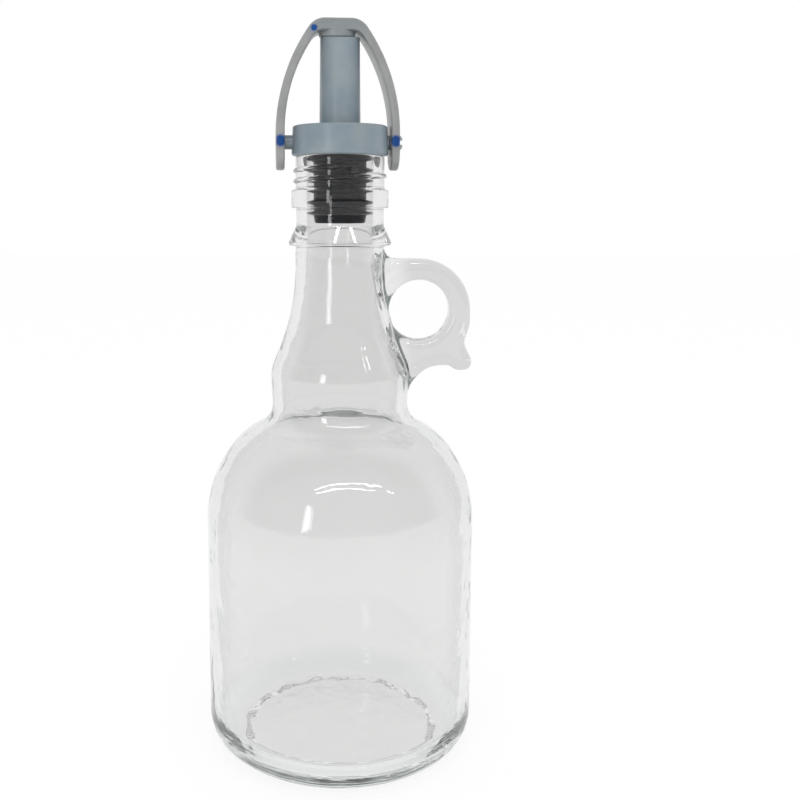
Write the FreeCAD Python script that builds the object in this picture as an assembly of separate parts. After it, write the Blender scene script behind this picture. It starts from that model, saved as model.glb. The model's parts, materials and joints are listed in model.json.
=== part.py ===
import FreeCAD, Part
import math
import os

# Ring-handled glass oil cruet with a pourer stopper and a swinging bail.
# Millimetres. +Z up, origin at the centre of the foot, handle towards +X.
Vector = FreeCAD.Vector
UP = Vector(0, 0, 1)
SIDE = Vector(0, 1, 0)

# Glass body: foot, heel, straight wall, two-radius dome, waist, bulge and neck.
body_r = 43.0
wall = 3.2
foot_inner_r = 29.4
heel_r = 11.0
push_up = 2.2
floor_z = 5.2
inner_heel_r = 8.5
dome_z = 75.0
dome_lower_r = 38.0
dome_lower_turn = 36.7
dome_upper_r = 26.0
dome_upper_turn = 28.1
waist_r = 7.0
bulge_flare = 3.1
bulge_flank = 7.7
bulge_r = 12.5
neck_slope = 22.2
neck_sweep_r = 70.0
neck_r = 14.1

# Screw finish above the neck: bead, locking ring, thread and mouth.
bead_z = 162.7
bead_r = 16.2
bead_rim = 1.0
bead_top_z = 168.8
bead_fillet = 1.5
collar_neck_r = 13.8
ring_z = 174.3
ring_top_z = 179.6
ring_r = 15.3
ring_chamfer = 0.8
finish_edge = 0.4
root_r = 13.95
mouth_z = 190.3
bore_r = 10.5
bore_start_z = 166.0
thread_pitch = 3.2
thread_height = 5.6
thread_z = 181.2
thread_crest_r = 14.75
thread_foot = 1.0
thread_crest = 0.45
thread_rounding = 0.2
thread_sunk = 0.4
thread_start_deg = 27.0
lip = 0.9

# Ring handle, a rounded plate in the XZ plane with a round finger hole.
handle_t = 9.0
handle_edge = 2.4
handle_x = 25.0
handle_z = 142.2
handle_out_r = 16.3
handle_hole_r = 9.5
handle_root_x = 5.0
handle_root_top_z = 161.6
handle_root_low_z = 113.0
handle_root_fillet = 3.0

# The handle's outer edge below its round top, as corners (x, z, corner radius).
handle_tail = [
    (41.3, 137.5, 5.0),
    (39.3, 131.5, 4.0),
    (42.0, 126.5, 3.0),
    (41.8, 122.9, 2.5),
    (36.6, 122.9, 2.6),
    (34.8, 124.6, 3.0),
    (28.0, 124.2, 9.0),
    (22.6, 119.0, 8.0),
]
handle_tail_x = 21.0

# Stopper: finned plug in the bore, drip cup and spout above the mouth.
yaw = 5.0
spout_bore_r = 4.2
plug_z = 169.4
plug_core_r = 8.3
plug_tip_r = 7.9
fin_r = 10.45
fin_count = 6
fin_first_z = 172.8
fin_pitch = 3.2
fin_root = 1.5
fin_edge = 0.5
cup_r = 15.2
cup_top_r = 14.75
cup_top_z = 199.5
cup_wall = 1.5
cup_draft = 0.2
cup_floor = 2.0
cup_edge = 0.9
cup_rim = 0.6
cup_fillet = 1.0
spout_base_r = 6.5
spout_top_r = 6.1
pivot_z = 194.5
spout_reach = 31.7

# Pivot pins: the -X one is plain, the +X one is split into two barbed prongs.
pin_r = 2.2
pin_tip_x = 19.4
pin_slot = 1.4
pin_slot_depth = 5.0
barb_r = 2.65
barb_tip_r = 1.8
barb_x = 18.5

# Bail: a strap bent over the spout, hung on the pins, with a closing boss.
bail_w = 10.8
bail_t = 2.6
bail_half = 19.1
bail_shift = -0.9
arm_straight = 2.5
arm_sweep_r = 55.0
arm_corner_r = 6.0
arm_inner_corner_r = 4.0
bail_top = 36.9
crown_t = 3.6
tab_drop = 8.6
hole_clearance = 0.05
boss_r = 5.6
seat_gap = 0.2
bail_edge = 0.6


class Outline:
    """Chain of lines and arcs in the XZ plane, each leaving along the heading."""

    def __init__(self, x, z, heading):
        self.x = x
        self.z = z
        self.heading = heading
        self.edges = []

    def to(self, x, z):
        start = Vector(self.x, 0, self.z)
        end = Vector(x, 0, z)
        self.edges.append(Part.makeLine(start, end))
        self.x = x
        self.z = z

    def line(self, length):
        angle = math.radians(self.heading)
        self.to(self.x + length * math.cos(angle), self.z + length * math.sin(angle))

    def arc(self, radius, turn):
        side = math.copysign(90.0, turn)
        toward = math.radians(self.heading + side)
        centre_x = self.x + radius * math.cos(toward)
        centre_z = self.z + radius * math.sin(toward)
        start = Vector(self.x, 0, self.z)
        points = []
        for share in (0.5, 1.0):
            angle = math.radians(self.heading - side + turn * share)
            points.append(Vector(centre_x + radius * math.cos(angle), 0,
                                 centre_z + radius * math.sin(angle)))
        self.edges.append(Part.Arc(start, points[0], points[1]).toShape())
        self.x = points[1].x
        self.z = points[1].z
        self.heading += turn


def rounded(corners):
    """Edges along (x, z, radius) corners, each corner rounded by its radius."""
    edges = []
    last = Vector(corners[0][0], 0, corners[0][1])
    for before, here, after in zip(corners, corners[1:], corners[2:]):
        corner = Vector(here[0], 0, here[1])
        if here[2] == 0:
            edges.append(Part.makeLine(last, corner))
            last = corner
            continue
        back = (Vector(before[0], 0, before[1]) - corner).normalize()
        ahead = (Vector(after[0], 0, after[1]) - corner).normalize()
        half = back.getAngle(ahead) / 2
        reach = here[2] / math.tan(half)
        start = corner + back * reach
        end = corner + ahead * reach
        middle = (back + ahead).normalize()
        crown = corner + middle * (here[2] / math.sin(half) - here[2])
        if last.distanceToPoint(start) > 1e-6:
            edges.append(Part.makeLine(last, start))
        edges.append(Part.Arc(start, crown, end).toShape())
        last = end
    edges.append(Part.makeLine(last, Vector(corners[-1][0], 0, corners[-1][1])))
    return edges


def face_of(edges):
    ordered = Part.__sortEdges__(edges)
    return Part.Face(Part.Wire(ordered))


def turned(edges):
    return face_of(edges).revolve(Vector(0, 0, 0), UP, 360)


def climb_to_neck(outline, inset):
    """Wall from the straight body up to the neck, inset towards the inside."""
    outline.to(outline.x, dome_z)
    outline.arc(dome_lower_r - inset, dome_lower_turn)
    outline.arc(dome_upper_r - inset, dome_upper_turn)
    outline.arc(waist_r + inset, -dome_lower_turn - dome_upper_turn - bulge_flare)
    outline.line(bulge_flank)
    outline.arc(bulge_r - inset, bulge_flare + neck_slope)
    slope = math.radians(neck_slope)
    sweep = (neck_sweep_r + inset) * (1 - math.cos(slope))
    outline.line((outline.x - sweep - neck_r + inset) / math.sin(slope))
    outline.arc(neck_sweep_r + inset, -neck_slope)


def pushed_up(radius, z):
    """Shallow arc from the axis, where it is raised by the push-up, out to a radius."""
    top = Vector(0, 0, z + push_up)
    middle = Vector(radius / 2, 0, z + push_up * 3 / 4)
    return Part.Arc(top, middle, Vector(radius, 0, z)).toShape()


def glass_outside():
    outline = Outline(foot_inner_r, 0, 0)
    outline.to(body_r - heel_r, 0)
    outline.arc(heel_r, 90)
    climb_to_neck(outline, 0)
    finish = rounded([
        (outline.x, outline.z, 0),
        (neck_r, bead_z, finish_edge),
        (bead_r, bead_z, finish_edge),
        (bead_r, bead_z + bead_rim, finish_edge),
        (collar_neck_r, bead_top_z, bead_fillet),
        (collar_neck_r, ring_z, finish_edge),
        (ring_r, ring_z, finish_edge),
        (ring_r, ring_top_z, finish_edge),
        (root_r, ring_top_z + ring_chamfer, finish_edge),
        (root_r, mouth_z, lip),
        (0, mouth_z, 0),
    ])
    axis = Part.makeLine(Vector(0, 0, mouth_z), Vector(0, 0, push_up))
    return turned([pushed_up(foot_inner_r, 0)] + outline.edges + finish + [axis])


def glass_inside():
    floor_r = body_r - wall - inner_heel_r
    outline = Outline(floor_r, floor_z, 0)
    outline.arc(inner_heel_r, 90)
    climb_to_neck(outline, wall)
    outline.to(bore_r, bore_start_z)
    outline.to(bore_r, mouth_z - lip)
    outline.heading = 90
    outline.arc(lip, -90)
    outline.to(0, mouth_z)
    outline.to(0, floor_z + push_up)
    return turned([pushed_up(floor_r, floor_z)] + outline.edges)


def screw_thread():
    helix = Part.makeHelix(thread_pitch, thread_height, root_r)
    sunk = root_r - thread_sunk
    shoulder = thread_crest_r - thread_rounding
    corners = [
        Vector(sunk, 0, -thread_foot),
        Vector(shoulder, 0, -thread_crest),
        Vector(thread_crest_r, 0, 0),
        Vector(shoulder, 0, thread_crest),
        Vector(sunk, 0, thread_foot),
        Vector(sunk, 0, -thread_foot),
    ]
    rib = Part.Wire(helix).makePipeShell([Part.makePolygon(corners)], True, True)
    rib.rotate(Vector(0, 0, 0), UP, thread_start_deg)
    rib.translate(UP * thread_z)
    return rib


def ring_handle():
    right = handle_x + handle_out_r
    top = handle_z + handle_out_r
    loop = rounded([
        (handle_root_x, handle_root_top_z, 0),
        (neck_r, handle_root_top_z, 0),
        (neck_r, top, handle_root_fillet),
        (right, top, handle_out_r),
        *handle_tail,
        (handle_tail_x, handle_root_low_z, 0),
        (handle_root_x, handle_root_low_z, 0),
        (handle_root_x, handle_root_top_z, 0),
    ])
    plate = face_of(loop).extrude(SIDE * handle_t)
    plate.translate(SIDE * (-handle_t / 2))
    drill = Part.makeCylinder(handle_hole_r, handle_t * 2, Vector(handle_x, -handle_t, handle_z), SIDE)
    plate = plate.cut(drill)
    rims = []
    for edge in plate.Edges:
        box = edge.BoundBox
        outside = box.XMax > neck_r + 0.01 and box.XMin > handle_root_x + 0.01
        if outside and box.YLength < 0.01:
            rims.append(edge)
    return plate.makeFillet(handle_edge, rims)


def glass_bottle():
    shape = glass_outside().fuse([ring_handle(), screw_thread()])
    return shape.cut(glass_inside()).Solids[0]


def about_pivot(radius, half_length):
    """Cylinder of the given radius round the pivot pins' axis."""
    start = Vector(-half_length, 0, pivot_z)
    return Part.makeCylinder(radius, 2 * half_length, start, Vector(1, 0, 0))


def plain_pin(direction):
    root_x = cup_top_r - cup_wall / 2
    root = Vector(direction.x * root_x, 0, pivot_z)
    return Part.makeCylinder(pin_r, pin_tip_x - root_x, root, direction)


def barbed_pin(direction):
    start = Vector(direction.x * barb_x, 0, pivot_z)
    barb = Part.makeCone(barb_r, barb_tip_r, pin_tip_x - barb_x, start, direction)
    slot = Part.makeBox(pin_slot_depth, 4 * pin_r, pin_slot)
    slot.translate(Vector(pin_tip_x - pin_slot_depth, -2 * pin_r, pivot_z - pin_slot / 2))
    return plain_pin(direction).fuse(barb).cut(slot)


def pourer():
    floor = mouth_z + cup_floor
    top = pivot_z + spout_reach + 1.0
    cup_in = cup_top_r - cup_wall
    turning = turned(rounded([
        (spout_bore_r, mouth_z, 0),
        (cup_r, mouth_z, cup_edge),
        (cup_top_r, cup_top_z, cup_rim),
        (cup_in, cup_top_z, cup_rim),
        (cup_in - cup_draft, floor, cup_fillet),
        (spout_base_r, floor, cup_fillet),
        (spout_top_r, top, 0),
        (spout_bore_r, top, 0),
        (spout_bore_r, mouth_z, 0),
    ]))
    turning = turning.common(about_pivot(spout_reach, 40))
    return turning.fuse([barbed_pin(Vector(1, 0, 0)), plain_pin(Vector(-1, 0, 0))])


def stopper_plug():
    corners = [(spout_bore_r, plug_z, 0), (plug_tip_r, plug_z, 0.5)]
    for index in range(fin_count):
        z = fin_first_z + index * fin_pitch
        corners += [
            (plug_core_r, z - fin_root / 2, 0),
            (fin_r, z - fin_edge / 2, 0),
            (fin_r, z + fin_edge / 2, 0),
            (plug_core_r, z + fin_root / 2, 0),
        ]
    corners += [(plug_core_r, mouth_z, 0), (spout_bore_r, mouth_z, 0), (spout_bore_r, plug_z, 0)]
    return turned(rounded(corners))


def arch(half, sweep_r, corner_r, top):
    """One face of the strap, from the right tab's end over the top to the left one's."""
    reach = sweep_r - corner_r
    lean = math.degrees(math.asin((top - corner_r - arm_straight) / reach))
    flat = half - sweep_r + reach * math.cos(math.radians(lean))
    face = Outline(half, -tab_drop, 90)
    face.to(half, arm_straight)
    face.arc(sweep_r, lean)
    face.arc(corner_r, 90 - lean)
    face.line(2 * flat)
    face.arc(corner_r, 90 - lean)
    face.arc(sweep_r, lean)
    face.to(-half, -tab_drop)
    return face.edges


def bail_strap():
    """The bent strap round the origin, with rounded tab ends and softened edges."""
    inner = bail_half - bail_t
    edges = arch(bail_half, arm_sweep_r, arm_corner_r, bail_top)
    edges += arch(inner, arm_sweep_r - bail_t, arm_inner_corner_r, bail_top - crown_t)
    for side in (-1, 1):
        inside = Vector(side * inner, 0, -tab_drop)
        outside = Vector(side * bail_half, 0, -tab_drop)
        edges.append(Part.makeLine(inside, outside))
    strap = face_of(edges).extrude(SIDE * bail_w)
    strap.translate(SIDE * (-bail_w / 2))
    across = 4 * bail_half
    tab_z = bail_w / 2 - tab_drop
    arms = Part.makeBox(across, bail_w, bail_top + bail_w, Vector(-across / 2, -bail_w / 2, tab_z))
    ends = Part.makeCylinder(bail_w / 2, across, Vector(-across / 2, 0, tab_z), Vector(1, 0, 0))
    strap = strap.common(arms.fuse(ends))
    soft = [edge for edge in strap.Edges if edge.BoundBox.ZLength > 0.5 or edge.BoundBox.YLength < 0.01]
    return strap.makeFillet(bail_edge, soft)


def bail():
    along = Vector(1, 0, 0)
    across = 4 * bail_half
    start = Vector(-across / 2, 0, 0)
    boss = Part.makeCylinder(boss_r, bail_top - spout_reach, Vector(0, 0, spout_reach - 1.0))
    boss = boss.cut(Part.makeCylinder(spout_reach + seat_gap, across, start, along))
    holes = Part.makeCylinder(pin_r + hole_clearance, across, start, along)
    shape = bail_strap().fuse(boss).cut(holes)
    shape.translate(Vector(bail_shift, 0, pivot_z))
    return shape


os.makedirs("parts", exist_ok=True)
solids = {
    "glass_bottle": glass_bottle(),
    "pourer": pourer(),
    "stopper_plug": stopper_plug(),
    "bail": bail(),
}
for name, shape in solids.items():
    if name != "glass_bottle":
        shape.rotate(Vector(0, 0, 0), UP, yaw)
    shape.exportStep("parts/" + name + ".step")
    print(name, shape.isValid(), len(shape.Solids), round(shape.Volume))
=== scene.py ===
"""Empty glass oil cruet with a ring handle, a pourer stopper and a swinging bail, on its CAD frame."""

import json
import math
import random

import bpy
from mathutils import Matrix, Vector


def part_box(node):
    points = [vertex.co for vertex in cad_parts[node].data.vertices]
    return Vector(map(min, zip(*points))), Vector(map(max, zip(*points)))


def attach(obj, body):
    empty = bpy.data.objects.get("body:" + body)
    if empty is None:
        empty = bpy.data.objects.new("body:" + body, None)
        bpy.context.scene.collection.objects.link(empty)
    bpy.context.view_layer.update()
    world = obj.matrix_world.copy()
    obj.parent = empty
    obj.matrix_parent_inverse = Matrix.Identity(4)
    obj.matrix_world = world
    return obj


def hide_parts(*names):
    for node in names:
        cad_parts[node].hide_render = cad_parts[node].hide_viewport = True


bl_info = {
    "name": "Oil Cruet",
    "version": (1, 0, 0),
    "blender": (4, 5, 0),
    "location": "3D View > Sidebar > Cruet",
    "description": "Adds a glass oil cruet with a pourer stopper, and a plain studio for it",
    "category": "Add Mesh",
}

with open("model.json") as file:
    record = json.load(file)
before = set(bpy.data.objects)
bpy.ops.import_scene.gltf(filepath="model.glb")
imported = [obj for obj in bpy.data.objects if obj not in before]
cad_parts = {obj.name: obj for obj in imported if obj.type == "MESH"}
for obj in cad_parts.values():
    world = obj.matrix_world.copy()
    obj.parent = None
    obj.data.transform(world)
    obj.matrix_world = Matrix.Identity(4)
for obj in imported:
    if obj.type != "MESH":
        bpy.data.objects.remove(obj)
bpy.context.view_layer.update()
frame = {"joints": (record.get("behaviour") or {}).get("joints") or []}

MM = 0.001
FULL_TURN = 2 * math.pi

# What the frame gives, in millimetres: the pivot pins' axis and the glass.
HINGE = frame["joints"][0]
PIVOT_Z = HINGE["pos_m"][2] / MM
YAW = math.atan2(HINGE["axis"][1], HINGE["axis"][0])
MOUTH_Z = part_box("glass_bottle")[1][2] / MM
BODY_R = -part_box("glass_bottle")[0][0] / MM

# Glass body, from the foot to the neck.
FOOT_INNER_R = 29.4
HEEL_R = 11.0
PUSH_UP = 2.2
FLOOR_Z = 5.2
INNER_HEEL_R = 8.5
DOME_Z = 75.0
DOME_LOWER_R = 38.0
DOME_LOWER_TURN = 36.7
DOME_UPPER_R = 26.0
DOME_UPPER_TURN = 28.1
WAIST_R = 7.0
BULGE_FLARE = 3.1
BULGE_FLANK = 7.7
BULGE_R = 12.5
NECK_SLOPE = 22.2
NECK_SWEEP_R = 70.0
NECK_R = 14.1

# Screw finish.
BEAD_Z = 162.7
BEAD_R = 16.2
BEAD_RIM = 1.0
BEAD_TOP_Z = 168.8
BEAD_FILLET = 1.5
COLLAR_NECK_R = 13.8
RING_Z = 174.3
RING_TOP_Z = 179.6
RING_R = 15.3
RING_CHAMFER = 0.8
FINISH_EDGE = 0.4
ROOT_R = 13.95
BORE_R = 10.5
BORE_START_Z = 166.0
LIP = 0.9
THREAD_PITCH = 3.2
THREAD_HEIGHT = 5.6
THREAD_Z = 181.2
THREAD_CREST_R = 14.75
THREAD_START = math.radians(27.0)
THREAD_SUNK = 0.4
THREAD_TURN_STEPS = 96
THREAD_END_RINGS = 10
THREAD_END_DROP = 0.065
THREAD_END_CURVE = 1.6
# The rib's face from below to above, as depth under the crest and height.
THREAD_FACE = ((0.3, -0.5), (0.08, -0.25), (0, -0.05), (0.03, 0.08), (0.22, 0.53), (0.34, 0.64))

# Knurled ring under the foot, and the unevenness of the inner wall.
PUSH_UP_STRETCHES = 6
KNURL_OUT_R = 32.0
KNURL_INSET = 0.22
KNURL_DEPTH = 0.6
KNURL_SHARE = 0.62
KNURL_SEED = 7
RIPPLE_TOP_Z = 158.0
RIPPLE_FADE = 12.0
RIPPLE_SIZE = 30.0
RIPPLE_MARGIN = 1.5

# Ring handle.
HANDLE_X = 25.0
HANDLE_Z = 142.2
HANDLE_OUT_R = 16.3
HANDLE_HOLE_R = 9.5
HANDLE_ROOT_X = 10.0
HANDLE_ROOT_TOP_Z = 161.6
HANDLE_ROOT_LOW_Z = 113.0
HANDLE_ROOT_FILLET = 3.0
HANDLE_TAIL = (
    (41.3, 137.5, 5.0),
    (39.3, 131.5, 4.0),
    (42.0, 126.5, 3.0),
    (41.8, 122.9, 2.5),
    (36.6, 122.9, 2.6),
    (34.8, 124.6, 3.0),
    (28.0, 124.2, 9.0),
    (22.6, 119.0, 8.0),
)
HANDLE_TAIL_X = 21.0
HANDLE_EDGE = 2.4
HANDLE_GRAIN = 0.42
MELT_LOW_Z = 104.0
CORE_SKIN = 0.08
CORE_WALL = 2.4
ROOM_INSET = 2.2

# Pourer and plug.
SPOUT_BORE_R = 4.2
SPOUT_BASE_R = 6.5
SPOUT_TOP_R = 6.1
SPOUT_REACH = 31.7
CUP_R = 15.2
CUP_TOP_R = 14.75
CUP_TOP_Z = 199.5
CUP_WALL = 1.5
CUP_DRAFT = 0.2
CUP_FLOOR = 2.0
CUP_EDGE = 0.9
CUP_RIM = 0.6
CUP_FILLET = 1.0
PIN_R = 2.2
PIN_TIP_X = 19.4
PIN_SLOT = 1.4
PIN_SLOT_DEPTH = 5.0
BARB_R = 2.65
BARB_TIP_R = 1.8
BARB_X = 18.5
PLUG_Z = 169.4
PLUG_CORE_R = 8.3
PLUG_TIP_R = 7.9
FIN_R = 10.45
FIN_COUNT = 6
FIN_FIRST_Z = 172.8
FIN_PITCH = 3.2
FIN_ROOT = 1.5
FIN_EDGE = 0.5
MOULD_EDGE = 0.15
CUP_TOOL_REACH = 40.0

# Bail.
BAIL_W = 10.8
BAIL_T = 2.6
BAIL_HALF = 19.1
BAIL_SHIFT = -0.9
ARM_STRAIGHT = 2.5
ARM_SWEEP_R = 55.0
ARM_CORNER_R = 6.0
ARM_INNER_CORNER_R = 4.0
BAIL_TOP = 36.9
CROWN_T = 3.6
TAB_DROP = 8.6
HOLE_R = 2.25
BOSS_R = 5.6
SEAT_GAP = 0.2
BAIL_EDGE = 0.6
BAIL_TOOL_REACH = 30.0

# Glass finish. Pairs say where a tint starts and where it is full, in metres, or as a slant from 0 to 1.
TOP_TINT_Z = (0.078, 0.096)
HANDLE_TINT_X = (0.0165, 0.024)
HANDLE_TINT_Z = (0.116, 0.118)
HEEL_TINT_R = (0.033, 0.038)
HEEL_TINT_Z = (0.014, 0.005)
# Painted shade at the glass's edges: where it starts and is full as a slant from 0 to 1, and how strong it
# is.
RIM_SHADE_SLANT = (0.45, 0.85)
RIM_SHADE_SHARE = 0.75
UNEVEN_Z = (0.164, 0.154)
UNEVEN_HEIGHT = 0.00035
GLASS_IOR = 1.5
GLASS_DENSITY = 4.0

# Plastic finish. Spots are in millimetres from the pivot.
GRAIN_SCALE = 2400.0
GRAIN_HEIGHT = 0.00006
PLASTIC_ROUGHNESS = 0.3
PLUG_GLOSS = 0.15
MILKY_SHARE = 0.35
BAIL_SHADE = 0.86
PIN_SPOT_Z = 0.2
PIN_SPOT_R = 2.3
CORNER_SPOT_X = -8.3
CORNER_SPOT_Z = 33.8
CORNER_SPOT_R = 1.3
# Size of the painted see-through spot: the spout's colour painted into the bail's crown above it.
CROWN_SEE_THROUGH_R = 12.5

# Stage: light levels, bounces and camera. Lamps are name, azimuth, elevation, distance, size, radiance
# and whether the glass lets their light through.
WORLD_LIGHT = 0.8
MIRRORED_FRONT = 0.2
MIRRORED_FRONT_Y = (0.25, -0.2)
FLOOR_SIZE = 8.0
FLOOR_TONE = 0.97
FLOOR_GLOW = 1.03
FLOOR_GLOW_SHARE = 0.85
LAMP_AIM = (0, 0, 0.12)
LAMPS = (
    ("side_strip", -28, 11.5, 1.0, (0.12, 0.42), 5.5, True),
    ("top_strip", 9, 45.5, 1.0, (1.0, 0.016), 28.0, False),
    ("under_strip", 7, 41.0, 1.0, (0.85, 0.012), 28.0, False),
    ("small_lamp", 54, 30, 1.2, (0.05, 0.05), 12.0, True),
)
MAX_BOUNCES = 128
GLOSSY_BOUNCES = 96
TRANSMISSION_BOUNCES = 32
CAMERA_PLACE = (0, -0.3187, 0.1730)
CAMERA_TILT = math.radians(82.6)
CAMERA_LENS = 45.14
CAMERA_SHIFT = (0.075, -0.0721)


# ---------------------------------------------------------------- outlines

class Outline:
    """Chain of straight and round stretches in the XZ plane, each leaving along the heading."""

    def __init__(self, x, z, heading=0.0):
        self.points = [(x, z)]
        self.heading = heading

    @property
    def x(self):
        return self.points[-1][0]

    @property
    def z(self):
        return self.points[-1][1]

    def to(self, x, z, stretches=1):
        start_x, start_z = self.points[-1]
        for step in range(1, stretches + 1):
            share = step / stretches
            self.points.append((start_x + (x - start_x) * share, start_z + (z - start_z) * share))

    def line(self, length, stretches=1):
        angle = math.radians(self.heading)
        self.to(self.x + length * math.cos(angle), self.z + length * math.sin(angle), stretches)

    def arc(self, radius, turn, degrees=4.0):
        side = math.copysign(90.0, turn)
        toward = math.radians(self.heading + side)
        centre_x = self.x + radius * math.cos(toward)
        centre_z = self.z + radius * math.sin(toward)
        steps = max(2, round(abs(turn) / degrees))
        for step in range(1, steps + 1):
            angle = math.radians(self.heading - side + turn * step / steps)
            self.to(centre_x + radius * math.cos(angle), centre_z + radius * math.sin(angle))
        self.heading += turn


def rounded(corners, degrees=15.0):
    """Points along (x, z, radius) corners, each corner rounded by its radius."""
    points = [corners[0][:2]]
    for before, here, after in zip(corners, corners[1:], corners[2:]):
        if here[2] == 0:
            points.append(here[:2])
            continue
        corner = Vector(here[:2])
        back = (Vector(before[:2]) - corner).normalized()
        ahead = (Vector(after[:2]) - corner).normalized()
        half = back.angle(ahead) / 2
        centre = corner + (back + ahead).normalized() * (here[2] / math.sin(half))
        arm = corner + back * (here[2] / math.tan(half)) - centre
        sweep = math.pi - 2 * half
        if back.x * ahead.y - back.y * ahead.x > 0:
            sweep = -sweep
        steps = max(2, math.ceil(math.degrees(abs(sweep)) / degrees))
        for step in range(steps + 1):
            turn = sweep * step / steps
            points.append((
                centre.x + arm.x * math.cos(turn) - arm.y * math.sin(turn),
                centre.y + arm.x * math.sin(turn) + arm.y * math.cos(turn),
            ))
    points.append(corners[-1][:2])
    return points


def pushed_up(radius, z):
    """Shallow rise from the axis, where it is raised by the push-up, out to a radius."""
    shares = [step / PUSH_UP_STRETCHES for step in range(PUSH_UP_STRETCHES)]
    return [(radius * share, z + PUSH_UP * (1 - share ** 2)) for share in shares]


# ---------------------------------------------------------------- modelling

def deselect():
    if bpy.context.mode != "OBJECT":
        bpy.ops.object.mode_set(mode="OBJECT")
    bpy.ops.object.select_all(action="DESELECT")


def select_only(obj):
    deselect()
    obj.select_set(True)
    bpy.context.view_layer.objects.active = obj


def added(name):
    """The object that an operator has just added, named, with its place in its mesh."""
    obj = bpy.context.active_object
    obj.name = name
    obj.data.name = name
    bpy.ops.object.transform_apply(location=True, rotation=True, scale=True)
    return obj


def drawn(name, points):
    """A plane merged to one vertex and extruded along the outline's points."""
    deselect()
    bpy.ops.mesh.primitive_plane_add(size=MM)
    obj = added(name)
    bpy.ops.object.mode_set(mode="EDIT")
    bpy.ops.mesh.select_mode(type="VERT")
    bpy.ops.mesh.select_all(action="SELECT")
    bpy.ops.mesh.merge(type="CENTER")
    last = Vector((points[0][0], 0, points[0][1])) * MM
    bpy.ops.transform.translate(value=last)
    for x, z in points[1:]:
        here = Vector((x, 0, z)) * MM
        if (here - last).length > 1e-6:
            bpy.ops.mesh.extrude_region_move(TRANSFORM_OT_translate={"value": here - last})
            last = here
    bpy.ops.mesh.select_all(action="SELECT")
    bpy.ops.mesh.remove_doubles(threshold=1e-6)
    bpy.ops.object.mode_set(mode="OBJECT")
    return obj


def spun(name, points, steps):
    """The outline spun once round the Z axis into a closed piece."""
    obj = drawn(name, points)
    bpy.ops.object.mode_set(mode="EDIT")
    bpy.ops.mesh.select_all(action="SELECT")
    bpy.ops.mesh.spin(steps=steps, angle=FULL_TURN, center=(0, 0, 0), axis=(0, 0, 1))
    bpy.ops.mesh.select_all(action="SELECT")
    bpy.ops.mesh.remove_doubles(threshold=1e-6)
    bpy.ops.mesh.normals_make_consistent(inside=False)
    bpy.ops.object.mode_set(mode="OBJECT")
    return obj


def plate(name, points, thickness):
    """The closed outline filled and extruded along Y, centred on the XZ plane."""
    obj = drawn(name, points)
    bpy.ops.object.mode_set(mode="EDIT")
    bpy.ops.mesh.select_all(action="SELECT")
    bpy.ops.mesh.edge_face_add()
    bpy.ops.transform.translate(value=(0, -thickness / 2 * MM, 0))
    bpy.ops.mesh.extrude_region_move(TRANSFORM_OT_translate={"value": (0, thickness * MM, 0)})
    bpy.ops.mesh.select_all(action="SELECT")
    bpy.ops.mesh.normals_make_consistent(inside=False)
    bpy.ops.object.mode_set(mode="OBJECT")
    return obj


def rod(name, radius, start, end, end_radius=None, sides=48):
    """A cylinder or cone from start to end."""
    start, end = Vector(start) * MM, Vector(end) * MM
    along = end - start
    turn = Vector((0, 0, 1)).rotation_difference(along).to_euler()
    deselect()
    bpy.ops.mesh.primitive_cone_add(
        vertices=sides, radius1=radius * MM, radius2=(radius if end_radius is None else end_radius) * MM,
        depth=along.length, location=(start + end) / 2, rotation=turn)
    return added(name)


def block(name, low, high):
    low, high = Vector(low) * MM, Vector(high) * MM
    deselect()
    bpy.ops.mesh.primitive_cube_add(size=1, location=(low + high) / 2, scale=high - low)
    return added(name)


def apply_modifier(obj, kind, **settings):
    select_only(obj)
    modifier = obj.modifiers.new(kind.title(), kind)
    for name, value in settings.items():
        setattr(modifier, name, value)
    bpy.ops.object.modifier_apply(modifier=modifier.name)


def combine(obj, tool, operation):
    """Union, difference or intersection with a tool piece, which is then removed."""
    apply_modifier(obj, "BOOLEAN", operation=operation, solver="EXACT", object=tool)
    bpy.data.objects.remove(tool)


def soften(obj, width, segments, angle):
    apply_modifier(obj, "BEVEL", width=width * MM, segments=segments, limit_method="ANGLE",
                   angle_limit=math.radians(angle), use_clamp_overlap=False)


def finish_piece(obj, node, body, material, angle=35):
    """Smooth shading, one material, and the piece's place in the frame."""
    select_only(obj)
    bpy.ops.object.shade_smooth_by_angle(angle=math.radians(angle))
    obj.data.materials.clear()
    obj.data.materials.append(material)
    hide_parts(node)
    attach(obj, body)


def turn_to_pins(obj):
    """Turns a piece that was made square to the axes to the pivot pins' heading."""
    select_only(obj)
    obj.rotation_euler.z = YAW
    bpy.ops.object.transform_apply(location=False, rotation=True, scale=False)


# ---------------------------------------------------------------- materials

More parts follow.
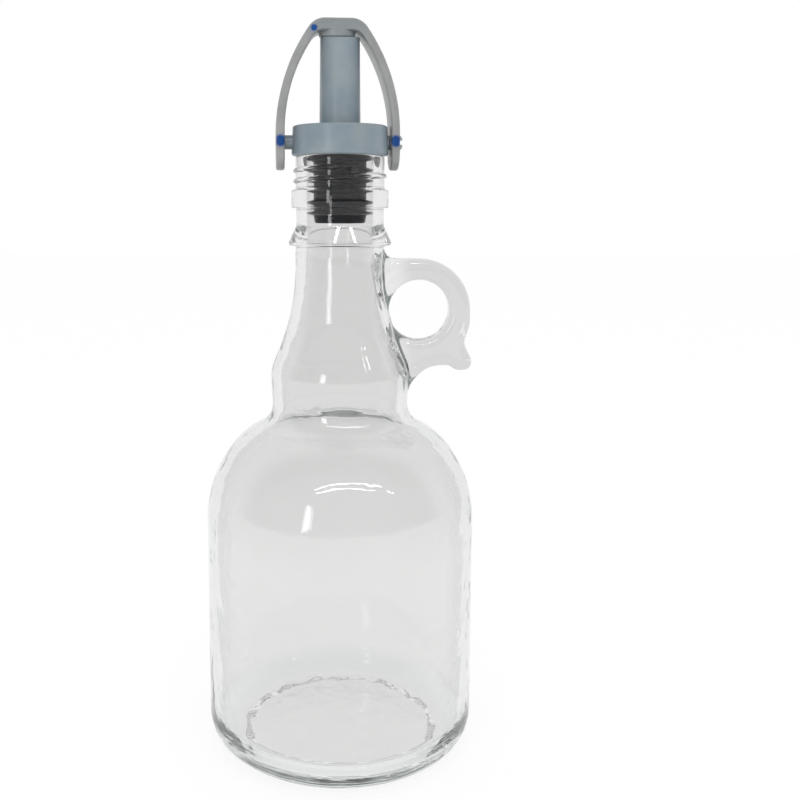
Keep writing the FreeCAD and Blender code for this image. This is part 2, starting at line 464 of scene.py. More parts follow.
class Nodes:
    """Short way to add and link a tree's nodes."""

    def __init__(self, tree):
        self.tree = tree

    def add(self, kind, **settings):
        node = self.tree.nodes.new(kind)
        for name, value in settings.items():
            setattr(node, name, value)
        return node

    def link(self, source, target):
        self.tree.links.new(source, target)

    def math(self, operation, *values, clamp=False):
        node = self.add("ShaderNodeMath", operation=operation, use_clamp=clamp)
        for socket, value in zip(node.inputs, values):
            if isinstance(value, bpy.types.NodeSocket):
                self.link(value, socket)
            else:
                socket.default_value = value
        return node.outputs[0]

    def noise(self, vector, scale, detail=3.0, roughness=0.5):
        node = self.add("ShaderNodeTexNoise")
        self.link(vector, node.inputs["Vector"])
        node.inputs["Detail"].default_value = detail
        node.inputs["Roughness"].default_value = roughness
        if isinstance(scale, bpy.types.NodeSocket):
            self.link(scale, node.inputs["Scale"])
        else:
            node.inputs["Scale"].default_value = scale
        return node.outputs["Fac"]

    def spread(self, value, low, high):
        """A value from 0 to 1 mapped to low to high."""
        node = self.add("ShaderNodeMapRange")
        self.link(value, node.inputs["Value"])
        node.inputs["To Min"].default_value = low
        node.inputs["To Max"].default_value = high
        return node.outputs["Result"]

    def ramp(self, value, start, full):
        """A mask that climbs smoothly from 0 at one value to 1 at another."""
        node = self.add("ShaderNodeMapRange", interpolation_type="SMOOTHSTEP")
        self.link(value, node.inputs["Value"])
        node.inputs["From Min"].default_value = start
        node.inputs["From Max"].default_value = full
        return node.outputs["Result"]

    def blend(self, factor, first, second):
        node = self.add("ShaderNodeMix", data_type="RGBA")
        self.link(factor, node.inputs["Factor"])
        for socket, value in ((node.inputs[6], first), (node.inputs[7], second)):
            if isinstance(value, bpy.types.NodeSocket):
                self.link(value, socket)
            else:
                socket.default_value = (*value, 1)
        return node.outputs[2]


def fresh_material(name):
    material = bpy.data.materials.new(name)
    material.use_nodes = True
    material.node_tree.nodes.clear()
    nodes = Nodes(material.node_tree)
    output = nodes.add("ShaderNodeOutputMaterial")
    shader = nodes.add("ShaderNodeBsdfPrincipled")
    nodes.link(shader.outputs["BSDF"], output.inputs["Surface"])
    return material, nodes, shader, output


def fresh_group(name, inputs, outputs):
    group = bpy.data.node_groups.get(name)
    if group:
        return group, None, None, None
    group = bpy.data.node_groups.new(name, "ShaderNodeTree")
    for title, kind in inputs:
        group.interface.new_socket(title, in_out="INPUT", socket_type=kind)
    for title, kind in outputs:
        group.interface.new_socket(title, in_out="OUTPUT", socket_type=kind)
    nodes = Nodes(group)
    return group, nodes, nodes.add("NodeGroupInput"), nodes.add("NodeGroupOutput")


def moulded_surface():
    """Cloudy tone, fine grain and flow marks of a moulded plastic."""
    group, nodes, given, result = fresh_group(
        "moulded_surface",
        [("Vector", "NodeSocketVector"), ("Cloud Scale", "NodeSocketFloat"),
         ("Grain Scale", "NodeSocketFloat")],
        [("Cloud", "NodeSocketFloat"), ("Grain", "NodeSocketFloat"), ("Height", "NodeSocketFloat")])
    if nodes:
        cloud = nodes.noise(given.outputs["Vector"], given.outputs["Cloud Scale"], 4.0, 0.55)
        grain = nodes.noise(given.outputs["Vector"], given.outputs["Grain Scale"], 2.0, 0.6)
        height = nodes.math("ADD", nodes.math("MULTIPLY", cloud, 0.6), nodes.math("MULTIPLY", grain, 0.4))
        nodes.link(cloud, result.inputs["Cloud"])
        nodes.link(grain, result.inputs["Grain"])
        nodes.link(height, result.inputs["Height"])
    return group


def soft_spot():
    """Mask that is 1 near a point and fades out at a radius."""
    group, nodes, given, result = fresh_group(
        "soft_spot",
        [("Vector", "NodeSocketVector"), ("Centre", "NodeSocketVector"), ("Radius", "NodeSocketFloat")],
        [("Mask", "NodeSocketFloat")])
    if nodes:
        distance = nodes.add("ShaderNodeVectorMath", operation="DISTANCE")
        nodes.link(given.outputs["Vector"], distance.inputs[0])
        nodes.link(given.outputs["Centre"], distance.inputs[1])
        share = nodes.math("DIVIDE", distance.outputs["Value"], given.outputs["Radius"])
        nodes.link(nodes.ramp(share, 1.0, 0.55), result.inputs["Mask"])
    return group


def placed_group(nodes, group, vector, **values):
    node = nodes.add("ShaderNodeGroup", node_tree=group)
    nodes.link(vector, node.inputs["Vector"])
    for name, value in values.items():
        node.inputs[name.replace("_", " ")].default_value = value
    return node


def bump(nodes, shader, height, distance, strength=1.0):
    node = nodes.add("ShaderNodeBump")
    node.inputs["Strength"].default_value = strength
    node.inputs["Distance"].default_value = distance
    nodes.link(height, node.inputs["Height"])
    nodes.link(node.outputs["Normal"], shader.inputs["Normal"])


def clear_glass(colours):
    """Clear pressed glass: greyer above the dome and in the handle, greener in the thick heel."""
    material, nodes, shader, output = fresh_material("clear_glass")
    place = nodes.add("ShaderNodeTexCoord").outputs["Object"]
    shader.inputs["IOR"].default_value = GLASS_IOR
    shader.inputs["Transmission Weight"].default_value = 1.0
    shader.inputs["Roughness"].default_value = 0.0
    parts = nodes.add("ShaderNodeSeparateXYZ")
    nodes.link(place, parts.inputs[0])
    out, side, height = parts.outputs["X"], parts.outputs["Y"], parts.outputs["Z"]
    square = nodes.math("ADD", nodes.math("MULTIPLY", out, out), nodes.math("MULTIPLY", side, side))
    across = nodes.math("POWER", square, 0.5)
    wavering = nodes.math("ADD", height, nodes.math("MULTIPLY", nodes.noise(place, 30.0, 3.0), 0.02))
    tint = nodes.blend(nodes.ramp(wavering, *TOP_TINT_Z), colours.glass, colours.glass_top)
    at_handle = nodes.math("MULTIPLY", nodes.ramp(out, *HANDLE_TINT_X), nodes.ramp(height, *HANDLE_TINT_Z))
    tint = nodes.blend(at_handle, tint, colours.glass_handle)
    at_heel = nodes.math("MULTIPLY", nodes.ramp(across, *HEEL_TINT_R), nodes.ramp(height, *HEEL_TINT_Z))
    tint = nodes.blend(at_heel, tint, colours.glass_heel)
    # Painted shade: the glass is darkened towards its edges, where it is seen at a slant.
    slant = nodes.add("ShaderNodeLayerWeight")
    slant.inputs["Blend"].default_value = 0.5
    shade_at_rim = nodes.math("MULTIPLY", nodes.ramp(slant.outputs["Facing"], *RIM_SHADE_SLANT), RIM_SHADE_SHARE)
    nodes.link(nodes.blend(shade_at_rim, tint, colours.glass_rim_shade), shader.inputs["Base Color"])
    fine = nodes.math("MULTIPLY", nodes.noise(place, 420.0, 1.0), 0.06)
    uneven = nodes.math("ADD", nodes.noise(place, 70.0, 2.0), fine)
    bump(nodes, shader, nodes.math("MULTIPLY", uneven, nodes.ramp(height, *UNEVEN_Z)), UNEVEN_HEIGHT)
    depth = nodes.add("ShaderNodeVolumeAbsorption")
    depth.inputs["Color"].default_value = (*colours.glass_depth, 1)
    depth.inputs["Density"].default_value = GLASS_DENSITY
    nodes.link(depth.outputs["Volume"], output.inputs["Volume"])
    return material


def moulded_plastic(name, colour, other, cloud_scale):
    """Satin plastic with patches of a second colour, fine grain and flow marks."""
    material, nodes, shader, _ = fresh_material(name)
    place = nodes.add("ShaderNodeTexCoord").outputs["Object"]
    surface = placed_group(nodes, moulded_surface(), place,
                           Cloud_Scale=cloud_scale, Grain_Scale=GRAIN_SCALE)
    patches = nodes.math("MULTIPLY_ADD", surface.outputs["Cloud"], 3.0, -1.0, clamp=True)
    nodes.link(nodes.blend(patches, colour, other), shader.inputs["Base Color"])
    satin = nodes.spread(surface.outputs["Grain"], PLASTIC_ROUGHNESS - 0.06, PLASTIC_ROUGHNESS + 0.08)
    nodes.link(satin, shader.inputs["Roughness"])
    bump(nodes, shader, surface.outputs["Height"], GRAIN_HEIGHT, 0.6)
    return material, nodes, shader, place


# ---------------------------------------------------------------- properties

class CruetSizes(bpy.types.PropertyGroup):
    """Sizes of the cruet's pieces."""
    wall: bpy.props.FloatProperty(
        name="Wall", description="Thickness of the glass wall", default=0.0032, min=0.0015, max=0.006,
        precision=4, unit="LENGTH")
    handle_thickness: bpy.props.FloatProperty(
        name="Handle thickness", description="Thickness of the ring handle's plate", default=0.009,
        min=0.004, max=0.014, precision=4, unit="LENGTH")
    ripple: bpy.props.FloatProperty(
        name="Inner ripple", description="How far the inner wall wanders from its true shape",
        default=0.0001, min=0, max=0.001, precision=5, unit="LENGTH")
    melt: bpy.props.IntProperty(
        name="Handle melt", description="How far the handle's corners and roots are melted together",
        default=14, min=0, max=40)
    steps: bpy.props.IntProperty(
        name="Steps", description="Steps round each spun piece", default=160, min=32, max=256)


class CruetColours(bpy.types.PropertyGroup):
    """Colours of the glass and the mouldings."""
    glass: bpy.props.FloatVectorProperty(
        name="Glass", description="Tint at the glass surface", subtype="COLOR",
        default=(0.885, 0.883, 0.882), min=0, max=1)
    glass_top: bpy.props.FloatVectorProperty(
        name="Glass above", description="Tint at the glass surface above the dome's foot", subtype="COLOR",
        default=(0.835, 0.833, 0.832), min=0, max=1)
    glass_handle: bpy.props.FloatVectorProperty(
        name="Glass of the handle", description="Tint at the handle's surface", subtype="COLOR",
        default=(0.70, 0.698, 0.697), min=0, max=1)
    glass_heel: bpy.props.FloatVectorProperty(
        name="Glass of the heel", description="Greener tint of the thick glass round the foot",
        subtype="COLOR", default=(0.84, 0.872, 0.862), min=0, max=1)
    # Painted shade: the darker colour given to the glass where it is seen at a slant, towards its edges.
    glass_rim_shade: bpy.props.FloatVectorProperty(
        name="Glass at the rim", description="Tint where the glass is seen at a slant", subtype="COLOR",
        default=(0.58, 0.60, 0.60), min=0, max=1)
    glass_depth: bpy.props.FloatVectorProperty(
        name="Glass depth", description="Colour that light takes on along the glass", subtype="COLOR",
        default=(0.45, 0.515, 0.50), min=0, max=1)
    pourer: bpy.props.FloatVectorProperty(
        name="Pourer", description="Colour of the cup and spout", subtype="COLOR",
        default=(0.268, 0.308, 0.325), min=0, max=1)
    pourer_cloud: bpy.props.FloatVectorProperty(
        name="Pourer clouding", description="Bluer cast in patches of the cup and spout", subtype="COLOR",
        default=(0.20, 0.255, 0.30), min=0, max=1)
    plug: bpy.props.FloatVectorProperty(
        name="Plug", description="Colour of the finned plug", subtype="COLOR",
        default=(0.003, 0.0045, 0.008), min=0, max=1)
    bail: bpy.props.FloatVectorProperty(
        name="Bail", description="Colour of the milky bail", subtype="COLOR",
        default=(0.42, 0.425, 0.425), min=0, max=1)
    # Painted see-through: the darker, bluer colour of the crown stands in for the spout seen through the
    # bail.
    crown_see_through: bpy.props.FloatVectorProperty(
        name="Crown", description="Colour of the bail over the spout, which shows through it",
        subtype="COLOR", default=(0.31, 0.34, 0.35), min=0, max=1)
    bail_spot: bpy.props.FloatVectorProperty(
        name="Bail spots", description="Blue that shows in the bail at the pins", subtype="COLOR",
        default=(0.0, 0.07, 0.33), min=0, max=1)


# ---------------------------------------------------------------- glass

def climb_to_neck(outline, inset):
    """Wall from the straight body up to the neck, inset towards the inside."""
    outline.to(outline.x, DOME_Z, 8)
    outline.arc(DOME_LOWER_R - inset, DOME_LOWER_TURN, 2.5)
    outline.arc(DOME_UPPER_R - inset, DOME_UPPER_TURN, 2.5)
    outline.arc(WAIST_R + inset, -DOME_LOWER_TURN - DOME_UPPER_TURN - BULGE_FLARE)
    outline.line(BULGE_FLANK, 2)
    outline.arc(BULGE_R - inset, BULGE_FLARE + NECK_SLOPE, 2.5)
    slope = math.radians(NECK_SLOPE)
    sweep = (NECK_SWEEP_R + inset) * (1 - math.cos(slope))
    outline.line((outline.x - sweep - NECK_R + inset) / math.sin(slope), 2)
    outline.arc(NECK_SWEEP_R + inset, -NECK_SLOPE, 1.5)


def outer_outline():
    outline = Outline(FOOT_INNER_R, 0)
    outline.to(KNURL_OUT_R, 0, 2)
    outline.arc(HEEL_R, 90)
    climb_to_neck(outline, 0)
    return outline.points


def finish_outline(start):
    """Bead, locking ring, thread root and lip, down to the bore."""
    return rounded([
        (*start, 0),
        (NECK_R, BEAD_Z, FINISH_EDGE),
        (BEAD_R, BEAD_Z, FINISH_EDGE),
        (BEAD_R, BEAD_Z + BEAD_RIM, FINISH_EDGE),
        (COLLAR_NECK_R, BEAD_TOP_Z, BEAD_FILLET),
        (COLLAR_NECK_R, RING_Z, FINISH_EDGE),
        (RING_R, RING_Z, FINISH_EDGE),
        (RING_R, RING_TOP_Z, FINISH_EDGE),
        (ROOT_R, RING_TOP_Z + RING_CHAMFER, FINISH_EDGE),
        (ROOT_R, MOUTH_Z, LIP),
        (BORE_R, MOUTH_Z, LIP),
        (BORE_R, BORE_START_Z, 0),
    ])


def inner_outline(wall):
    floor_r = BODY_R - wall - INNER_HEEL_R
    outline = Outline(floor_r, FLOOR_Z)
    outline.arc(INNER_HEEL_R, 90)
    climb_to_neck(outline, wall)
    return pushed_up(floor_r, FLOOR_Z) + outline.points


def radius_at(points, z):
    """Radius of a rising outline at a height."""
    for (low_x, low_z), (high_x, high_z) in zip(points, points[1:]):
        if low_z <= z <= high_z and high_z > low_z:
            return low_x + (high_x - low_x) * (z - low_z) / (high_z - low_z)
    return 0.0


def place_round_foot(face, steps):
    """The face's place as half steps round the axis and radius, whatever order the faces are kept in."""
    turn = math.atan2(face.center.y, face.center.x) / FULL_TURN
    return round(turn * steps * 2), round(face.center.xy.length / MM, 2)


def knurl_foot(obj, steps):
    """Small uneven dents round the bearing ring, made by insetting some of its faces."""
    chance = random.Random(KNURL_SEED)
    mesh = obj.data
    select_only(obj)
    for item in (*mesh.vertices, *mesh.edges):
        item.select = False
    under_foot = []
    for face in mesh.polygons:
        face.select = False
        radius = face.center.xy.length / MM
        if abs(face.center.z) < 1e-5 and FOOT_INNER_R < radius < KNURL_OUT_R:
            under_foot.append(face)
    for face in sorted(under_foot, key=lambda face: place_round_foot(face, steps)):
        face.select = chance.random() < KNURL_SHARE
    bpy.ops.object.mode_set(mode="EDIT")
    bpy.ops.mesh.select_mode(type="FACE")
    bpy.ops.mesh.inset(thickness=KNURL_INSET * MM, depth=-KNURL_DEPTH * MM, use_individual=True)
    bpy.ops.object.mode_set(mode="OBJECT")


def ripple_inside(obj, outer, strength):
    """Lets the inner wall wander a little, as blown glass does, below the bore."""
    group = obj.vertex_groups.new(name="Inside")
    for vertex in obj.data.vertices:
        z = vertex.co.z / MM
        radius = vertex.co.xy.length / MM
        if FLOOR_Z - 0.1 < z < RIPPLE_TOP_Z and radius < radius_at(outer, z) - RIPPLE_MARGIN:
            group.add([vertex.index], min(1.0, (RIPPLE_TOP_Z - z) / RIPPLE_FADE), "REPLACE")
    texture = bpy.data.textures.new("ripple", "CLOUDS")
    texture.noise_scale = RIPPLE_SIZE * MM
    texture.noise_depth = 1
    apply_modifier(obj, "DISPLACE", texture=texture, strength=strength * 2, mid_level=0.5,
                   vertex_group=group.name, texture_coords="LOCAL")
    obj.vertex_groups.clear()


def glass_wall(sizes):
    under = pushed_up(FOOT_INNER_R, 0)
    outer = outer_outline()
    finish = finish_outline(outer[-1])
    inside = inner_outline(sizes.wall / MM)
    obj = spun("glass_wall", under + outer + finish[1:] + inside[::-1], sizes.steps)
    knurl_foot(obj, sizes.steps)
    ripple_inside(obj, outer, sizes.ripple)
    return obj


def screw_thread():
    """A rib screwed round the finish, its ends sunk into the glass."""
    sunk = ROOT_R - THREAD_SUNK
    face = [(THREAD_CREST_R - depth, height) for depth, height in THREAD_FACE]
    rib = drawn("screw_thread", [(sunk, -1.0), *face, (sunk, 1.0), (sunk, -1.0)])
    turns = THREAD_HEIGHT / THREAD_PITCH
    steps = round(turns * THREAD_TURN_STEPS)
    apply_modifier(rib, "SCREW", angle=turns * FULL_TURN, screw_offset=THREAD_HEIGHT * MM,
                   steps=steps, render_steps=steps, use_merge_vertices=False)
    rib.rotation_euler.z = THREAD_START
    rib.location.z = THREAD_Z * MM
    select_only(rib)
    bpy.ops.object.transform_apply(location=True, rotation=True, scale=False)
    rings = steps + 1
    per_ring = len(rib.data.vertices) // rings
    bpy.ops.object.mode_set(mode="EDIT")
    bpy.ops.mesh.select_mode(type="VERT")
    for index in range(THREAD_END_RINGS):
        factor = 1 - THREAD_END_DROP * (1 - index / THREAD_END_RINGS) ** THREAD_END_CURVE
        for ring in (index, rings - 1 - index):
            bpy.ops.mesh.select_all(action="DESELECT")
            bpy.ops.object.mode_set(mode="OBJECT")
            for vertex in rib.data.vertices[ring * per_ring:(ring + 1) * per_ring]:
                vertex.select = True
            bpy.ops.object.mode_set(mode="EDIT")
            bpy.ops.transform.resize(value=(factor, factor, 1), center_override=(0, 0, 0))
    bpy.ops.mesh.select_all(action="SELECT")
    bpy.ops.mesh.fill_holes(sides=0)
    bpy.ops.mesh.select_all(action="SELECT")
    bpy.ops.mesh.normals_make_consistent(inside=False)
    bpy.ops.object.mode_set(mode="OBJECT")
    return rib


def neck_core(outer, steps):
    """A hollow neck just inside the outer face, into which the handle's roots melt."""
    skin = [(x - CORE_SKIN, z) for x, z in outer if z > MELT_LOW_Z]
    skin.append((skin[-1][0], BEAD_Z))
    inner = [(x - CORE_WALL, z) for x, z in skin]
    return spun("neck_core", skin + inner[::-1] + skin[:1], steps)


def ring_handle(sizes):
    right = HANDLE_X + HANDLE_OUT_R
    top = HANDLE_Z + HANDLE_OUT_R
    thickness = sizes.handle_thickness / MM
    handle = plate("ring_handle", rounded([
        (HANDLE_ROOT_X, HANDLE_ROOT_TOP_Z, 0),
        (NECK_R, HANDLE_ROOT_TOP_Z, 0),
        (NECK_R, top, HANDLE_ROOT_FILLET),
        (right, top, HANDLE_OUT_R),
        *HANDLE_TAIL,
        (HANDLE_TAIL_X, HANDLE_ROOT_LOW_Z, 0),
        (HANDLE_ROOT_X, HANDLE_ROOT_LOW_Z, 0),
        (HANDLE_ROOT_X, HANDLE_ROOT_TOP_Z, 0),
    ], 6.0), thickness)
    drill = rod("drill", HANDLE_HOLE_R, (HANDLE_X, -thickness, HANDLE_Z),
                (HANDLE_X, thickness, HANDLE_Z), sides=96)
    combine(handle, drill, "DIFFERENCE")
    soften(handle, HANDLE_EDGE, 6, 50)
    apply_modifier(handle, "REMESH", mode="VOXEL", voxel_size=HANDLE_GRAIN * MM)
    outer = outer_outline()
    room = [(0, MELT_LOW_Z)] + [(x - ROOM_INSET, z) for x, z in outer if z > MELT_LOW_Z]
    room += [(room[-1][0], BEAD_TOP_Z), (0, BEAD_TOP_Z)]
    combine(handle, spun("room", room, 96), "DIFFERENCE")
    combine(handle, neck_core(outer, sizes.steps), "UNION")
    apply_modifier(handle, "REMESH", mode="VOXEL", voxel_size=HANDLE_GRAIN * MM)
    apply_modifier(handle, "SMOOTH", factor=0.5, iterations=sizes.melt)
    return handle


class CRUET_OT_add_glass(bpy.types.Operator):
    """Adds the glass bottle with its ring handle and screw finish"""
    bl_idname = "cruet.add_glass"
    bl_label = "Glass bottle"

    def execute(self, context):
        sizes = context.scene.cruet_sizes
        bottle = glass_wall(sizes)
        combine(bottle, ring_handle(sizes), "UNION")
        combine(bottle, screw_thread(), "UNION")
        bottle.name = "clear_bottle"
        finish_piece(bottle, "glass_bottle", "bottle",
                     clear_glass(context.scene.cruet_colours), 42)
        return {"FINISHED"}


# ---------------------------------------------------------------- pourer and plug

def pin(name, side, outline):
    """A pin spun from (radius, distance) points, then laid along the pivot axis."""
    obj = spun(name, [(0, outline[0][1])] + outline + [(0, outline[-1][1])], 48)
    select_only(obj)
    obj.rotation_euler.y = side * math.pi / 2
    obj.location.z = PIVOT_Z * MM
    bpy.ops.object.transform_apply(location=True, rotation=True, scale=False)
    return obj


class CRUET_OT_add_pourer(bpy.types.Operator):
    """Adds the drip cup with its spout and pivot pins"""
    bl_idname = "cruet.add_pourer"
    bl_label = "Pourer"

    def execute(self, context):
        floor = MOUTH_Z + CUP_FLOOR
        top = PIVOT_Z + SPOUT_REACH + 1.0
        cup_in = CUP_TOP_R - CUP_WALL
        cup = spun("pourer_moulding", rounded([
            (SPOUT_BORE_R, MOUTH_Z, 0),
            (CUP_R, MOUTH_Z, CUP_EDGE),
            (CUP_TOP_R, CUP_TOP_Z, CUP_RIM),
            (cup_in, CUP_TOP_Z, CUP_RIM),
            (cup_in - CUP_DRAFT, floor, CUP_FILLET),
            (SPOUT_BASE_R, floor, CUP_FILLET),
            (SPOUT_TOP_R, top, 0),
            (SPOUT_BORE_R, top, 0),
            (SPOUT_BORE_R, MOUTH_Z, 0),
        ]), context.scene.cruet_sizes.steps)
        reach = rod("reach", SPOUT_REACH, (-CUP_TOOL_REACH, 0, PIVOT_Z), (CUP_TOOL_REACH, 0, PIVOT_Z),
                    sides=320)
        combine(cup, reach, "INTERSECT")
        soften(cup, MOULD_EDGE, 3, 55)
        root = CUP_TOP_R - CUP_WALL / 2
        barbed = pin("barbed_pin", 1, [
            (PIN_R, root), (PIN_R, BARB_X), (BARB_R, BARB_X), (BARB_TIP_R, PIN_TIP_X)])
        half_slot = PIN_SLOT / 2
        slot = block("slot", (PIN_TIP_X - PIN_SLOT_DEPTH, -9, PIVOT_Z - half_slot),
                     (PIN_TIP_X + 1, 9, PIVOT_Z + half_slot))
        combine(barbed, slot, "DIFFERENCE")
        combine(cup, barbed, "UNION")
        plain = pin("plain_pin", -1, [(PIN_R, root), (PIN_R, PIN_TIP_X - 0.3), (PIN_R - 0.3, PIN_TIP_X)])
        combine(cup, plain, "UNION")
        turn_to_pins(cup)
        colours = context.scene.cruet_colours
        material, *_ = moulded_plastic("blue_grey_plastic", colours.pourer, colours.pourer_cloud, 90.0)
        finish_piece(cup, "pourer", "bottle", material)
        return {"FINISHED"}


class CRUET_OT_add_plug(bpy.types.Operator):
    """Adds the finned plug that grips the bore"""
    bl_idname = "cruet.add_plug"
    bl_label = "Plug"

    def execute(self, context):
        corners = [(SPOUT_BORE_R, PLUG_Z, 0), (PLUG_TIP_R, PLUG_Z, 0.5)]
        for index in range(FIN_COUNT):
            z = FIN_FIRST_Z + index * FIN_PITCH
            corners += [
                (PLUG_CORE_R, z - FIN_ROOT / 2, 0.2),
                (FIN_R, z - FIN_EDGE / 2, 0.12),
                (FIN_R, z + FIN_EDGE / 2, 0.12),
                (PLUG_CORE_R, z + FIN_ROOT / 2, 0.2),
            ]
        corners += [(PLUG_CORE_R, MOUTH_Z, 0), (SPOUT_BORE_R, MOUTH_Z, 0), (SPOUT_BORE_R, PLUG_Z, 0)]
        plug = spun("finned_plug", rounded(corners, 30.0), context.scene.cruet_sizes.steps)
        colours = context.scene.cruet_colours
        other = [channel * 1.8 for channel in colours.plug]
        material, _, shader, _ = moulded_plastic("dark_plastic", colours.plug, other, 120.0)
        shader.inputs["Specular IOR Level"].default_value = PLUG_GLOSS
        finish_piece(plug, "stopper_plug", "bottle", material)
        return {"FINISHED"}


# ---------------------------------------------------------------- bail

def arch(half, sweep_r, corner_r, top):
    """One face of the strap, from the right tab's end over the top to the left one's."""
    reach = sweep_r - corner_r
    lean = math.degrees(math.asin((top - corner_r - ARM_STRAIGHT) / reach))
    flat = half - sweep_r + reach * math.cos(math.radians(lean))
    face = Outline(half, -TAB_DROP, 90)
    face.to(half, ARM_STRAIGHT, 4)
    face.arc(sweep_r, lean, 2.0)
    face.arc(corner_r, 90 - lean, 5.0)
    face.line(2 * flat, 3)
    face.arc(corner_r, 90 - lean, 5.0)
    face.arc(sweep_r, lean, 2.0)
    face.to(-half, -TAB_DROP, 4)
    return face.points


def milky_plastic(colours):
    """Milky grey plastic with blue showing through at the pins and at one corner."""
    darker = [channel * BAIL_SHADE for channel in colours.bail]
    material, nodes, shader, place = moulded_plastic("milky_grey_plastic", darker, colours.bail, 160.0)
    shader.inputs["Transmission Weight"].default_value = MILKY_SHARE
    centred = nodes.add("ShaderNodeMapping", vector_type="TEXTURE")
    centred.inputs["Location"].default_value = (0, 0, PIVOT_Z * MM)
    centred.inputs["Rotation"].default_value = (0, 0, YAW)
    nodes.link(place, centred.inputs["Vector"])
    fold = nodes.add("ShaderNodeSeparateXYZ")
    nodes.link(centred.outputs["Vector"], fold.inputs[0])
    both_edges = nodes.add("ShaderNodeCombineXYZ")
    nodes.link(fold.outputs["X"], both_edges.inputs["X"])
    nodes.link(nodes.math("ABSOLUTE", fold.outputs["Y"]), both_edges.inputs["Y"])
    nodes.link(fold.outputs["Z"], both_edges.inputs["Z"])
    edge = BAIL_W / 2
    middle = BAIL_HALF - BAIL_T / 2
    mask = None
    for x, z, radius in ((BAIL_SHIFT - middle, PIN_SPOT_Z, PIN_SPOT_R),
                         (BAIL_SHIFT + middle, PIN_SPOT_Z, PIN_SPOT_R),
                         (CORNER_SPOT_X, CORNER_SPOT_Z, CORNER_SPOT_R)):
        spot = placed_group(nodes, soft_spot(), both_edges.outputs[0],
                            Centre=(x * MM, edge * MM, z * MM), Radius=radius * MM)
        mask = nodes.math("MAXIMUM", mask, spot.outputs["Mask"]) if mask else spot.outputs["Mask"]
    # Painted see-through: the crown over the spout is darker and bluer, standing in for the spout seen
    # through the bail.
    see_through_crown = placed_group(nodes, soft_spot(), both_edges.outputs[0],
                               Centre=(BAIL_SHIFT * MM, 0, (BAIL_TOP - 2) * MM),
                               Radius=CROWN_SEE_THROUGH_R * MM)
    plain = shader.inputs["Base Color"].links[0].from_socket
    shaded = nodes.blend(see_through_crown.outputs["Mask"], plain, colours.crown_see_through)
    nodes.link(nodes.blend(mask, shaded, colours.bail_spot), shader.inputs["Base Color"])
    return material


class CRUET_OT_add_bail(bpy.types.Operator):
    """Adds the bail with the boss that closes the spout"""
    bl_idname = "cruet.add_bail"
    bl_label = "Bail"

    def execute(self, context):
        inner = arch(BAIL_HALF - BAIL_T, ARM_SWEEP_R - BAIL_T, ARM_INNER_CORNER_R, BAIL_TOP - CROWN_T)
        outline = arch(BAIL_HALF, ARM_SWEEP_R, ARM_CORNER_R, BAIL_TOP)
        bail = plate("bail_strap", outline + inner[::-1] + outline[:1], BAIL_W)
        edge = BAIL_W / 2
        tab_z = edge - TAB_DROP
        far = BAIL_TOOL_REACH
        ends = rod("ends", edge, (-far, 0, tab_z), (far, 0, tab_z), sides=96)
        combine(ends, block("arms", (-far, -edge, tab_z), (far, edge, BAIL_TOP + 5)), "UNION")
        combine(bail, ends, "INTERSECT")
        soften(bail, BAIL_EDGE, 4, 50)
        boss = rod("boss", BOSS_R, (0, 0, SPOUT_REACH - 1), (0, 0, BAIL_TOP - 1), sides=96)
        seat = rod("seat", SPOUT_REACH + SEAT_GAP, (-far, 0, 0), (far, 0, 0), sides=320)
        combine(boss, seat, "DIFFERENCE")
        soften(boss, MOULD_EDGE, 3, 60)
        combine(bail, boss, "UNION")
        combine(bail, rod("holes", HOLE_R, (-far, 0, 0), (far, 0, 0)), "DIFFERENCE")
        select_only(bail)
        bail.location = Vector((BAIL_SHIFT, 0, PIVOT_Z)) * MM
        bpy.ops.object.transform_apply(location=True, rotation=False, scale=False)
        turn_to_pins(bail)
        finish_piece(bail, "bail", "bail",
                     milky_plastic(context.scene.cruet_colours))
        return {"FINISHED"}


# ---------------------------------------------------------------- stage

def seen_directly(nodes):
    """1 for rays from the camera, from a mirror-like face or through glass."""
    paths = nodes.add("ShaderNodeLightPath")
    first = nodes.math("MAXIMUM", paths.outputs["Is Camera Ray"], paths.outputs["Is Glossy Ray"])
    return nodes.math("MAXIMUM", first, paths.outputs["Is Transmission Ray"])


def studio_world():
    """White where it is seen, but dimmer in front for rays that a face has already mirrored."""
    world = bpy.data.worlds.new("Studio")
    bpy.context.scene.world = world
    world.use_nodes = True
    world.node_tree.nodes.clear()
    nodes = Nodes(world.node_tree)
    output = nodes.add("ShaderNodeOutputWorld")
    light = nodes.add("ShaderNodeBackground")
    light.inputs["Color"].default_value = (1, 1, 1, 1)
    light.inputs["Strength"].default_value = WORLD_LIGHT
    white = nodes.add("ShaderNodeBackground")
    white.inputs["Color"].default_value = (1, 1, 1, 1)
    place = nodes.add("ShaderNodeSeparateXYZ")
    nodes.link(nodes.add("ShaderNodeTexCoord").outputs["Generated"], place.inputs[0])
    front = nodes.ramp(place.outputs["Y"], *MIRRORED_FRONT_Y)
    mirrored = nodes.math("GREATER_THAN", nodes.add("ShaderNodeLightPath").outputs["Glossy Depth"], 0.5)
    dim = nodes.math("MULTIPLY", mirrored, front)
    nodes.link(nodes.spread(dim, 1.0, MIRRORED_FRONT), white.inputs["Strength"])
    mix = nodes.add("ShaderNodeMixShader")
    nodes.link(seen_directly(nodes), mix.inputs[0])
    nodes.link(light.outputs[0], mix.inputs[1])
    nodes.link(white.outputs[0], mix.inputs[2])
    nodes.link(mix.outputs[0], output.inputs["Surface"])


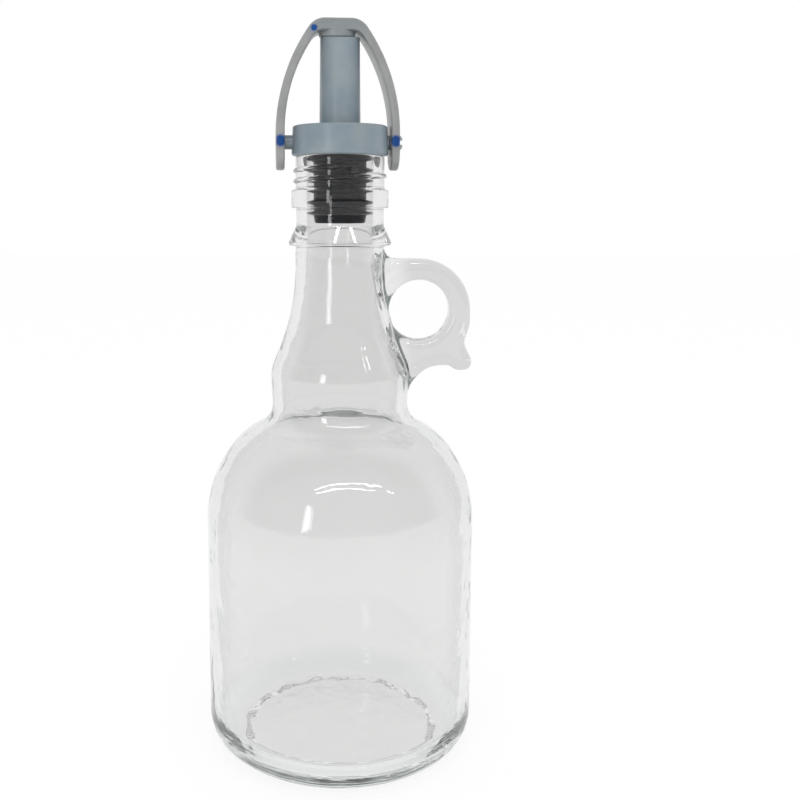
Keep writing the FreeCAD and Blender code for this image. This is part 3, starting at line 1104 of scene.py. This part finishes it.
def pale_floor():
    deselect()
    bpy.ops.mesh.primitive_plane_add(size=FLOOR_SIZE)
    floor = added("floor")
    material, nodes, shader, output = fresh_material("pale_floor")
    shader.inputs["Base Color"].default_value = (FLOOR_TONE, FLOOR_TONE, FLOOR_TONE, 1)
    shader.inputs["Roughness"].default_value = 0.9
    shader.inputs["Specular IOR Level"].default_value = 0.0
    glow = nodes.add("ShaderNodeEmission")
    glow.inputs["Strength"].default_value = FLOOR_GLOW
    mix = nodes.add("ShaderNodeMixShader")
    nodes.link(nodes.math("MULTIPLY", seen_directly(nodes), FLOOR_GLOW_SHARE), mix.inputs[0])
    nodes.link(shader.outputs[0], mix.inputs[1])
    nodes.link(glow.outputs[0], mix.inputs[2])
    nodes.link(mix.outputs[0], output.inputs["Surface"])
    floor.data.materials.append(material)


def soft_lamp(name, azimuth, elevation, distance, size, radiance, through_glass):
    """A rectangular lamp aimed at the neck, placed by direction as seen from there."""
    aim = Vector(LAMP_AIM)
    turn, rise = math.radians(azimuth), math.radians(elevation)
    level = math.cos(rise)
    place = aim + distance * Vector((math.sin(turn) * level, -math.cos(turn) * level, math.sin(rise)))
    deselect()
    bpy.ops.object.light_add(type="AREA", location=place)
    lamp = bpy.context.active_object
    lamp.name = name
    lamp.data.shape = "RECTANGLE"
    lamp.data.size, lamp.data.size_y = size
    lamp.data.energy = radiance * math.pi * size[0] * size[1]
    lamp.visible_transmission = through_glass
    lamp.rotation_euler = (aim - place).to_track_quat("-Z", "Y").to_euler()


def camera():
    deselect()
    bpy.ops.object.camera_add(location=CAMERA_PLACE, rotation=(CAMERA_TILT, 0, 0))
    view = bpy.context.active_object
    view.data.sensor_width = 36
    view.data.lens = CAMERA_LENS
    view.data.shift_x, view.data.shift_y = CAMERA_SHIFT
    view.data.clip_start = 0.01
    bpy.context.scene.camera = view


class CRUET_OT_set_stage(bpy.types.Operator):
    """Sets the floor, the light and the camera"""
    bl_idname = "cruet.set_stage"
    bl_label = "Stage"

    def execute(self, context):
        scene = context.scene
        scene.view_settings.view_transform = "Standard"
        # Light travels far along the glass wall, which turns dark where its bounces run out.
        scene.cycles.max_bounces = MAX_BOUNCES
        scene.cycles.glossy_bounces = GLOSSY_BOUNCES
        scene.cycles.transmission_bounces = TRANSMISSION_BOUNCES
        studio_world()
        pale_floor()
        for lamp in LAMPS:
            soft_lamp(*lamp)
        camera()
        return {"FINISHED"}


class CRUET_PT_sidebar(bpy.types.Panel):
    """Lists the cruet's sizes, colours and pieces"""
    bl_label = "Oil Cruet"
    bl_idname = "CRUET_PT_sidebar"
    bl_space_type = "VIEW_3D"
    bl_region_type = "UI"
    bl_category = "Cruet"

    def draw(self, context):
        layout = self.layout
        for group in (context.scene.cruet_sizes, context.scene.cruet_colours):
            box = layout.box()
            for name in group.__annotations__:
                box.prop(group, name)
        for step in STEPS:
            layout.operator(step.bl_idname)


STEPS = (CRUET_OT_add_glass, CRUET_OT_add_pourer, CRUET_OT_add_plug, CRUET_OT_add_bail, CRUET_OT_set_stage)
CLASSES = (CruetSizes, CruetColours, *STEPS, CRUET_PT_sidebar)


def register():
    for cls in CLASSES:
        bpy.utils.register_class(cls)
    bpy.types.Scene.cruet_sizes = bpy.props.PointerProperty(type=CruetSizes)
    bpy.types.Scene.cruet_colours = bpy.props.PointerProperty(type=CruetColours)


def unregister():
    del bpy.types.Scene.cruet_colours
    del bpy.types.Scene.cruet_sizes
    for cls in reversed(CLASSES):
        bpy.utils.unregister_class(cls)


def main():
    register()
    bpy.ops.cruet.add_glass()
    bpy.ops.cruet.add_pourer()
    bpy.ops.cruet.add_plug()
    bpy.ops.cruet.add_bail()
    bpy.ops.cruet.set_stage()


if __name__ == "__main__":
    main()
